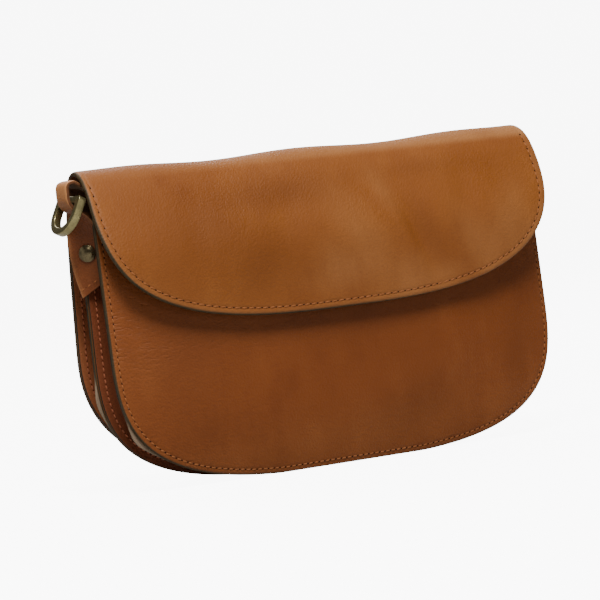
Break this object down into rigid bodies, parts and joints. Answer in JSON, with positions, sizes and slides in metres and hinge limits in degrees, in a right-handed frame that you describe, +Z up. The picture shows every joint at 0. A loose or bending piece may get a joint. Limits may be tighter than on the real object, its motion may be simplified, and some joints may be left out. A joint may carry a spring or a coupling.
{
  "type": "shoulder bag",
  "caption": "Small flap-over leather shoulder bag with compartments between sewn panels and folded gussets, and riveted end tabs whose D-rings take a strap.",
  "frame": {"origin": "middle of the divider's lower edge, on the floor", "axes": "+X along the bag's width to the viewer's right, -Y out of the flap's front, +Z up"},
  "size_m": [0.3102, 0.0635, 0.1762],
  "materials": {
    "tan_hide": "smooth vegetable-tanned hide with a soft sheen",
    "front_hide": "smooth vegetable-tanned hide with a soft sheen",
    "divider_hide": "smooth vegetable-tanned hide with a soft sheen",
    "front_gusset_hide": "smooth vegetable-tanned hide with a soft sheen",
    "back_gusset_hide": "smooth vegetable-tanned hide with a soft sheen",
    "tab_hide": "smooth vegetable-tanned hide with a soft sheen",
    "ring_brass": "aged, satin",
    "rivet_brass": "aged, satin"
  },
  "bodies": {
    "bag": {"back_and_flap": "tan_hide", "front_panel": "front_hide", "divider": "divider_hide", "front_gusset": "front_gusset_hide", "back_gusset": "back_gusset_hide", "left_tab": "tab_hide", "left_rivet": "rivet_brass", "right_tab": "tab_hide", "right_rivet": "rivet_brass"},
    "left_ring": {"left_ring": "ring_brass"},
    "right_ring": {"right_ring": "ring_brass"}
  },
  "joints": [
    {"name": "left_ring_swing", "type": "hinge", "parent": "bag", "child": "left_ring", "pos_m": [-0.1454, -0.0058, 0.1602], "axis": [0, 1, 0], "range_deg": [-8, 110]},
    {"name": "right_ring_swing", "type": "hinge", "parent": "bag", "child": "right_ring", "pos_m": [0.1438, -0.0042, 0.1568], "axis": [0, -1, 0], "range_deg": [0, 112]}
  ]
}
